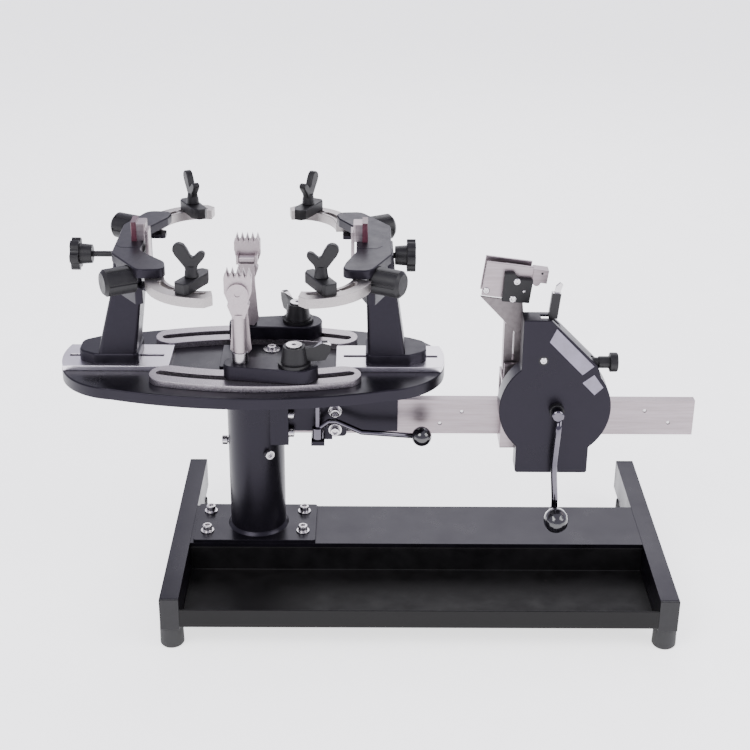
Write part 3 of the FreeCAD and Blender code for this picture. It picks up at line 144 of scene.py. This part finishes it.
def add(tree, kind, settings=None, links=None):
    """Adds one node; settings are its properties or socket values, links are its inputs."""
    node = tree.nodes.new(kind)
    for name, value in (settings or {}).items():
        if name in node.inputs:
            node.inputs[name].default_value = value
        else:
            setattr(node, name, value)
    for name, source in (links or {}).items():
        tree.links.new(source, node.inputs[name])
    return node


def finish_of(name, shader, low, high, grain_mm, stretch=(1, 1, 1), rough=(0.3, 0.4), bump=0.02, bump_mm=None,
              detail=4.0):
    """A finish whose colour and roughness drift with a grain, and whose surface is very slightly uneven."""
    material = bpy.data.materials.new(name)
    material.use_nodes = True
    tree = material.node_tree
    surface = tree.nodes["Principled BSDF"]
    for socket, value in shader.items():
        surface.inputs[socket].default_value = value
    place = add(tree, "ShaderNodeTexCoord")
    mapped = add(tree, "ShaderNodeMapping", {"Scale": stretch}, {"Vector": place.outputs["Object"]})
    grain = add(tree, "ShaderNodeTexNoise", {"Scale": 1000 / grain_mm, "Detail": detail, "Roughness": 0.6},
                {"Vector": mapped.outputs["Vector"]})
    tint = add(tree, "ShaderNodeValToRGB", links={"Fac": grain.outputs["Fac"]})
    tint.color_ramp.elements[0].position, tint.color_ramp.elements[1].position = 0.35, 0.65
    tint.color_ramp.elements[0].color, tint.color_ramp.elements[1].color = colour(low), colour(high)
    tree.links.new(tint.outputs["Color"], surface.inputs["Base Color"])
    spread = add(tree, "ShaderNodeMapRange", {"From Min": 0.3, "From Max": 0.7, "To Min": rough[0],
                                              "To Max": rough[1]}, {"Value": grain.outputs["Fac"]})
    tree.links.new(spread.outputs["Result"], surface.inputs["Roughness"])
    fine = add(tree, "ShaderNodeTexNoise", {"Scale": 1000 / (bump_mm or grain_mm), "Detail": 2.0},
               {"Vector": mapped.outputs["Vector"]})
    uneven = add(tree, "ShaderNodeBump", {"Strength": 1.0, "Distance": bump / 1000},
                 {"Height": fine.outputs["Fac"]})
    tree.links.new(uneven.outputs["Normal"], surface.inputs["Normal"])
    print("finish", name)
    return material


# %% [markdown]
# The frame, table and cover are coated with black enamel, sprayed and baked. It is nearly black, a touch
# violet, with a soft gloss, and it shrinks into a faint orange-peel as it flows. Peel is about 1.5 mm across
# and a few microns high, enough to make reflections swim a little without looking rough.

# %% Black enamel
SHEEN = (0.86, 0.8, 1.0, 1)
ENAMEL = finish_of("black_baked_enamel", {"IOR": 1.5, "Specular IOR Level": 0.26, "Specular Tint": SHEEN},
                   "#0a090c", "#100e13", 40, rough=(0.26, 0.36), bump=0.012, bump_mm=1.6)
CAST_ENAMEL = finish_of("black_enamel_on_casting",
                        {"IOR": 1.5, "Specular IOR Level": 0.24, "Specular Tint": SHEEN},
                        "#0e0c11", "#161419", 12, rough=(0.3, 0.42), bump=0.03, bump_mm=2.2)
POWDER = finish_of("dull_black_powder_coat", {"IOR": 1.5, "Specular IOR Level": 0.2}, "#0b0a0a", "#121111",
                   20, rough=(0.45, 0.6), bump=0.02, bump_mm=1.0)
# The front faces of the tension arm get a darker, warm grey steel than the rest of the arm.
DARK_PLATE = finish_of("dark_grey_steel_on_arm_front", {"Metallic": 1.0}, "#6b6566", "#7c7677", 6, rough=(0.38, 0.5),
                       bump=0.006)

# %% [markdown]
# The bright parts are steel, most of it nickel plated. Satin plate is brushed along the rail, so its grain is
# drawn out into lines by a mapping that stretches the noise. Ground plate is lighter and sharper. The cast
# bars keep a speckle of the mould's sand, and the blasted aluminium arms have an even, fine grain.

# %% Bright metals
METAL = {"Metallic": 1.0}
SATIN_STEEL = finish_of("satin_nickel_on_steel", METAL, "#8f8588", "#a0969a", 3, stretch=(0.06, 1, 1),
                        rough=(0.3, 0.4), bump=0.004)
GROUND_STEEL = finish_of("ground_steel_plate", METAL, "#dad6dc", "#e4e0e6", 30, rough=(0.3, 0.38), bump=0.001,
                         bump_mm=4)
CAST_NICKEL = finish_of("nickel_on_sand_casting", METAL, "#8b858a", "#b9b3b7", 1.4, rough=(0.3, 0.46),
                        bump=0.05)
CLAMP_NICKEL = finish_of("satin_nickel_on_clamps", METAL, "#a59b9e", "#b3a9ac", 2, rough=(0.4, 0.5),
                         bump=0.006)
ALLOY = finish_of("blasted_aluminium", METAL, "#989392", "#aaa5a4", 1.2, rough=(0.34, 0.44), bump=0.02)
TURNED_STEEL = finish_of("turned_steel", METAL, "#8f8b8e", "#a5a1a4", 2, stretch=(1, 1, 0.1),
                         rough=(0.2, 0.3), bump=0.004)
ZINC = finish_of("zinc_on_steel_screws", METAL, "#b9b6b8", "#d0cdce", 1.5, rough=(0.18, 0.3), bump=0.01)
CHROME = finish_of("polished_dark_chrome", METAL, "#56535b", "#646168", 30, rough=(0.1, 0.16), bump=0.002)

# %% [markdown]
# Knobs, pads and wings are moulded in black nylon, which comes out of its mould with a fine leathery texture.
# The crank's grip and the brake's ball are polished phenolic, glossy enough to mirror the lights. Feet and
# brake pad are rubber, the dullest thing here. A dark red lacquer marks the plates behind the racket rests.

# %% Plastics, rubber and the coloured finishes
NYLON = finish_of("moulded_black_nylon", {"IOR": 1.53, "Specular IOR Level": 0.3}, "#0f0e10", "#171618", 8,
                  rough=(0.38, 0.5), bump=0.03, bump_mm=0.9)
PHENOLIC = finish_of("polished_black_phenolic", {"IOR": 1.6, "Coat Weight": 0.6, "Coat Roughness": 0.04},
                     "#0d0c0f", "#151418", 25, rough=(0.14, 0.2), bump=0.004)
RUBBER = finish_of("moulded_black_rubber", {"IOR": 1.5}, "#1b1b1b", "#262626", 5, rough=(0.65, 0.8),
                   bump=0.06, bump_mm=1.2)
LACQUER = finish_of("dark_red_lacquer", {"IOR": 1.5, "Coat Weight": 0.3, "Coat Roughness": 0.15},
                    "#43202b", "#532734", 10, rough=(0.3, 0.4), bump=0.01)
VINYL = finish_of("blank_grey_vinyl", {"IOR": 1.46}, "#7b7683", "#868190", 12, rough=(0.35, 0.45), bump=0.004)
FLOOR = finish_of("white_paper_sweep", {"IOR": 1.45}, "#f4f4f4", "#f8f8f8", 60, rough=(0.8, 0.9), bump=0.01)
# The sheet is lit from below as well, which keeps it nearly white.
FLOOR.node_tree.nodes["Principled BSDF"].inputs["Emission Color"].default_value = (1.0, 1.0, 1.0, 1)
FLOOR.node_tree.nodes["Principled BSDF"].inputs["Emission Strength"].default_value = 1.7
floor.data.materials.append(FLOOR)

# %% [markdown]
# The CAD pieces arrive as triangles with knife-sharp edges, and no real edge is that sharp. Three modifiers
# put that right without touching the CAD shape: Weld joins the triangles, Bevel turns each sharp edge into a
# narrow round that catches the light, and Weighted Normal keeps the flats flat.

# %% Finishes for the CAD pieces
FINISHES = {"black_enamel": ENAMEL, "black_plastic": NYLON, "gloss_black_grip": PHENOLIC,
            "black_rubber": RUBBER, "satin_steel": SATIN_STEEL, "bright_steel": GROUND_STEEL,
            "cast_nickel": CAST_NICKEL, "satin_alloy": ALLOY, "bearing_steel": TURNED_STEEL,
            "zinc_screws": ZINC, "chrome_steel": CHROME}
SLOT_OF = {part["node"]: part["material_slot"] for part in frame["record"]["subparts"]}
OWN = {"front_clamp_body": CLAMP_NICKEL, "rear_clamp_body": CLAMP_NICKEL, "front_clamp_jaw": CLAMP_NICKEL,
       "rear_clamp_jaw": CLAMP_NICKEL, "brake_lever": CHROME, "tool_tray": POWDER,
       "left_tower": CAST_ENAMEL, "right_tower": CAST_ENAMEL,
       "front_clamp_base": CAST_ENAMEL, "rear_clamp_base": CAST_ENAMEL}


def ease(piece, width_mm=0.5):
    """Rounds a piece's sharp edges a little and keeps its flats flat."""
    for face in piece.data.polygons:
        face.use_smooth = True
    weld = piece.modifiers.new("join_triangles", "WELD")
    weld.merge_threshold = 1e-6
    flats = piece.modifiers.new("whole_flats", "DECIMATE")
    flats.decimate_type = "DISSOLVE"
    flats.angle_limit = math.radians(0.5)
    flats.delimit = {"MATERIAL"}
    bevel = piece.modifiers.new("eased_edges", "BEVEL")
    bevel.width = width_mm / 1000
    bevel.segments = 2
    bevel.limit_method = "ANGLE"
    bevel.angle_limit = math.radians(32)
    bevel.harden_normals = False
    piece.modifiers.new("flat_flats", "WEIGHTED_NORMAL")


for name, piece in nodes.items():
    piece.data.materials.clear()
    piece.data.materials.append(OWN.get(name) or FINISHES[SLOT_OF[name]])
    ease(piece, 1.2 if name == "head_cover" else 0.5)
print("finished", len(nodes), "CAD pieces")

# %% [markdown]
# Some CAD pieces hold parts of two finishes, such as a black casting with a silver pin, or a steel rest with
# a lacquered plate behind it. Such a part would be coated by itself and fitted later. Its faces are told
# apart by where they are, and the second finish goes on those.

# %% Second finishes
SPIN = Vector((-0.133, 0, 0))


def joint_at(name):
    """Where a joint of the record sits."""
    for joint in frame["record"]["behaviour"]["joints"]:
        if joint["name"] == name:
            return Vector(joint["pos_m"])


def repaint(name, finish, inside):
    """Gives the faces of a CAD piece whose middle passes a test another finish."""
    mesh = nodes[name].data
    if finish.name not in mesh.materials:
        mesh.materials.append(finish)
    index = mesh.materials.find(finish.name)
    count = 0
    for face in mesh.polygons:
        if inside(face.center):
            face.material_index = index
            count += 1
    print("repainted", count, "faces of", name)


def is_tower_bolt(at, side):
    """Whether a point lies on the bolt or the nut in a tower's foot, and not on the slide plate between."""
    beside = abs(at.x - SPIN.x - side * 0.15) < 0.013 and abs(at.y) < 0.0125
    return beside and (0.237 < at.z < 0.2645 or 0.2766 < at.z < 0.2768)


for side, name in ((-1, "left"), (1, "right")):
    repaint(name + "_racket_support", LACQUER, lambda at: side * (at.x - SPIN.x) > 0.1131)
    repaint(name + "_tower", ZINC, lambda at: is_tower_bolt(at, side))
repaint("brake_lever", PHENOLIC, lambda at: at.x > 0.03)
repaint("slide_plates", ENAMEL, lambda at: abs(at.x - SPIN.x) < 0.08)
repaint("gripper_body", NYLON, lambda at: at.y < -0.0105)
# The tension arm's front faces take the darker grey steel.
repaint("tension_arm", DARK_PLATE, lambda at: at.y < -0.00755)
repaint("release_lever", ZINC, lambda at: at.z > 0.3515)
for name in ("front", "rear"):
    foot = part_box(name + "_lock_lever")[0][2]
    repaint(name + "_lock_lever", ZINC, lambda at: foot + 0.0206 < at.z < foot + 0.0219)
    post = joint_at(name + "_clamp_turn")
    repaint(name + "_clamp_base", TURNED_STEEL, lambda at: (at - post).xy.length < 0.0081 and at.z > 0.2815)

# %% [markdown]
# The rest is shaped one by one. Most pieces here are either cut from plate or turned, so two small helpers do
# what a workshop does. Both begin with one corner that is extruded from point to point into a line. The
# first closes the line, fills it and pushes it to a thickness, and the second spins it round an axis.

# %% Helpers for shaping
def mm(x, y, z):
    """A point given in millimetres."""
    return Vector((x, y, z)) / 1000


def line_of(name, points):
    """A piece in edit mode that is one line of edges through the points, made from a single corner."""
    bpy.ops.mesh.primitive_plane_add(size=0.01, location=(0, 0, 0))
    piece = bpy.context.object
    piece.name = piece.data.name = name
    bpy.ops.object.mode_set(mode="EDIT")
    bpy.ops.mesh.select_all(action="SELECT")
    bpy.ops.mesh.merge(type="CENTER")
    bpy.ops.transform.translate(value=points[0])
    for near, far in zip(points, points[1:]):
        bpy.ops.mesh.extrude_vertices_move(TRANSFORM_OT_translate={"value": far - near})
    return piece


def complete(piece, finish, width_mm, segments=2):
    """Leaves edit mode with clean seams and outward normals, rounds the edges and adds the finish."""
    bpy.ops.mesh.select_all(action="SELECT")
    bpy.ops.mesh.remove_doubles(threshold=1e-6)
    bpy.ops.mesh.normals_make_consistent(inside=False)
    bpy.ops.object.mode_set(mode="OBJECT")
    piece.data.materials.append(finish)
    bpy.ops.object.shade_smooth()
    if width_mm:
        bevel = piece.modifiers.new("eased_edges", "BEVEL")
        bevel.width = width_mm / 1000
        bevel.segments = segments
        bevel.limit_method = "ANGLE"
        bevel.angle_limit = math.radians(32)
        bpy.ops.object.modifier_apply(modifier=bevel.name)
    flat = piece.modifiers.new("flat_flats", "WEIGHTED_NORMAL")
    bpy.ops.object.modifier_apply(modifier=flat.name)
    print("made", piece.name, len(piece.data.polygons), "faces")
    return piece


def plate_of(name, corners, lift, finish, width_mm=0.3, segments=2):
    """A plate: a closed outline filled and pushed along lift."""
    piece = line_of(name, corners)
    bpy.ops.mesh.select_all(action="SELECT")
    bpy.ops.mesh.edge_face_add()
    bpy.ops.mesh.extrude_region_move(TRANSFORM_OT_translate={"value": lift})
    return complete(piece, finish, width_mm, segments)


def turned_of(name, profile, centre, axis, finish, width_mm=0.3, steps=48):
    """A turned part: a profile of radius and height in millimetres, spun round an axis through the centre."""
    axis = Vector(axis).normalized()
    out = axis.orthogonal().normalized()
    piece = line_of(name, [centre + out * r / 1000 + axis * h / 1000 for r, h in profile])
    bpy.ops.mesh.select_all(action="SELECT")
    bpy.ops.mesh.spin(steps=steps, angle=math.tau, center=centre, axis=axis)
    return complete(piece, finish, width_mm)


# %% [markdown]
# The crank is a round bar, forged flat into an eye on the shaft and bent a little on its way down, with a
# turned pin for the grip. A black boss keeps it off the cover. The bar starts as a disc that is extruded
# from level to level, and each level is shifted a little, which draws the bow.

# %% The crank
hub = joint_at("crank_turn")
grip_at = joint_at("grip_spin")
bpy.ops.mesh.primitive_circle_add(vertices=28, radius=0.0034, fill_type="NGON", location=hub + mm(2.2, 0, -3))
bar = bpy.context.object
bar.name = bar.data.name = "crank_bar"
bpy.ops.object.transform_apply(location=True, rotation=True, scale=True)
bpy.ops.object.mode_set(mode="EDIT")
bpy.ops.mesh.select_all(action="SELECT")
levels = [(2.2, 3), (1.8, 20), (0.8, 38), (-0.1, 56), (0.1, 68), (1.4, 84), (2.6, 98), (3, 110)]
for (near_x, near_z), (far_x, far_z) in zip(levels, levels[1:]):
    bpy.ops.mesh.extrude_region_move(TRANSFORM_OT_translate={"value": mm(far_x - near_x, 0, near_z - far_z)})
complete(bar, CHROME, 0)
crank_parts = [
    turned_of("crank_eye", [(0, -5.5), (5, -5.5), (6.3, -4.4), (6.3, 5), (5, 6), (0, 6)], hub, (0, 1, 0),
              CHROME),
    turned_of("crank_shaft", [(0, 5), (5, 5), (5, 76), (0, 76)], hub, (0, 1, 0), TURNED_STEEL),
    turned_of("crank_boss", [(0, 5.5), (7.2, 5.5), (7.6, 6), (7.6, 11.9), (0, 11.9)], hub, (0, 1, 0), NYLON),
    turned_of("crank_pin", [(0, 15), (4.4, 15), (5.2, 16.5), (5.2, 21.5), (4, 23), (0, 23)], grip_at,
              (0, 1, 0), CHROME),
    turned_of("grip_pin", [(0, -9), (3, -9), (3, 15), (0, 15)], grip_at, (0, 1, 0), CHROME)]
for piece in crank_parts:
    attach(piece, "crank")
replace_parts(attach(bar, "crank"), "crank")

# %% [markdown]
# The wing screws on the four pads are moulded with one tall lobe and one short, so the thumb finds the
# same side each time. The outline is drawn once at the origin and pushed to its thickness, its edges are
# rounded well, and each copy is turned the way that its screw was left.

# %% The wing screws
LOBES = [(-4.5, 0), (-5, 4.5), (-6.2, 10), (-10.5, 16), (-15, 22), (-17, 26.5), (-16.6, 30.3), (-13.5, 33.2),
         (-9.5, 33.8), (-6, 32), (-3, 27.4), (0, 20.8), (2.2, 19.6), (4.4, 21.8), (7.4, 24.6), (10.6, 25.5),
         (13.2, 24), (13.6, 21.2), (11.4, 17.6), (7, 12.6), (5, 7), (4.5, 0)]
wing = plate_of("wing_screw", [mm(x, -3.6, z) for x, z in LOBES], mm(0, 7.2, 0), NYLON, 2.6, 4)
stem = turned_of("wing_stem", [(0, -14), (2.4, -14), (2.4, 0.4), (6.8, 0.4), (6.2, 6), (5, 11), (0, 11)],
                 mm(0, 0, 0), (0, 0, 1), NYLON)
stem.select_set(True)
wing.select_set(True)
bpy.context.view_layer.objects.active = wing
bpy.ops.object.join()
for name, degrees in (("front_left", 0), ("rear_left", -62), ("front_right", 180), ("rear_right", -118)):
    at = joint_at(name + "_wing_turn")
    at.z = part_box(name + "_pad")[1][2]
    bpy.ops.object.select_all(action="DESELECT")
    wing.select_set(True)
    bpy.context.view_layer.objects.active = wing
    bpy.ops.object.duplicate()
    copy = bpy.context.object
    copy.name = copy.data.name = name + "_wing"
    copy.rotation_euler = (0, 0, math.radians(degrees))
    copy.location = at
    bpy.ops.object.transform_apply(location=True, rotation=True, scale=True)
    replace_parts(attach(copy, name + "_wing"), name + "_wing_screw")
    print(copy.name, "at", [round(c, 3) for c in at])
bpy.data.objects.remove(wing)

# %% [markdown]
# Small things on the tension head tell what it is. Two blank adhesive labels lie on the cover. A socket
# screw holds the cover, two more hold the cam block on the gripper, and a ring nut closes its corner.

# %% Labels and screws on the tension head
FRONT = -50
labels = {"long_label": [(175.5, 318), (215.6, 276.9), (204.4, 267.3), (169, 303.6)],
          "short_label": [(216.4, 267.4), (226.6, 253.2), (218, 244.8), (204.9, 258.4)]}
for name, corners in labels.items():
    piece = plate_of(name, [mm(x, FRONT - 0.25, z) for x, z in corners], mm(0, 0.35, 0), VINYL, 0.1)
    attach(piece, "carriage")
SCREW = [(0, 0.2), (1.6, 0.2), (1.6, 1.1), (2.9, 1.1), (3.6, 0.4), (3.6, -0.3), (0, -0.3)]
for name, body, x, y, z in (("cover_screw", "carriage", 163.9, FRONT, 282.9),
                            ("upper_block_screw", "tension_arm", 136.5, -17, 355.6),
                            ("lower_block_screw", "tension_arm", 133, -17, 336.6),
                            ("corner_ring", "tension_arm", 106.3, -10, 343.2)):
    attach(turned_of(name, SCREW, mm(x, y, z), (0, -1, 0), ZINC, 0.15), body)
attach(turned_of("cover_screw_recess", [(0, 0.05), (4.9, 0.05), (5.1, -0.1), (0, -0.1)],
                  mm(163.9, FRONT, 282.9), (0, -1, 0), NYLON, 0), "carriage")
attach(turned_of("block_dowel", [(0, 0.5), (1.1, 0.5), (1.4, 0.2), (1.4, -0.3), (0, -0.3)],
                  mm(144, -17, 345), (0, -1, 0), ZINC, 0), "tension_arm")
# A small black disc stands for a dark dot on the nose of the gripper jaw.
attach(turned_of("nose_dark_dot", [(0, 0.3), (1.2, 0.3), (1.3, -0.2), (0, -0.2)], mm(163, -6.7, 360.6),
                  (0, -1, 0), NYLON, 0), "gripper_jaw")

# %% [markdown]
# The heads of the towers carry a shallow raised panel, and one big socket bolt with a washer sits beside
# the hub of the table. Both are thin, but they break up large black faces with a line and a spark of steel.

# %% Panels on the towers and the bolt by the hub
HEAD_TOP = 394
for side, name in ((-1, "left"), (1, "right")):
    outline = [(109, -27), (127, -27), (133, -20), (133, 20), (127, 27), (109, 27)]
    corners = [mm(-133 + side * u, v, HEAD_TOP - 0.2) for u, v in outline]
    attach(plate_of(name + "_head_panel", corners, mm(0, 0, 0.45), CAST_ENAMEL, 0.2), name + "_tower")
HUB_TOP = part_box("slide_plates")[1][2] * 1000
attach(turned_of("hub_bolt", [(0, 2.6), (2.6, 2.6), (2.6, 4.6), (4.4, 4.6), (5, 4), (5, 1.2), (9, 1.2),
                               (9, 0.1), (0, 0.1)], mm(-115.1, 15.8, HUB_TOP), (0, 0, 1), ZINC, 0.2),
        "turntable")

# %% [markdown]
# Both boxes, the measured one and the one that the seen pieces fill, are written down side by side at the
# end.

# %% The size is written down
for name, box in (("cad", CAD_BOX), ("visual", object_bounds())):
    print(name, [round(c, 4) for corner in box for c in corner])
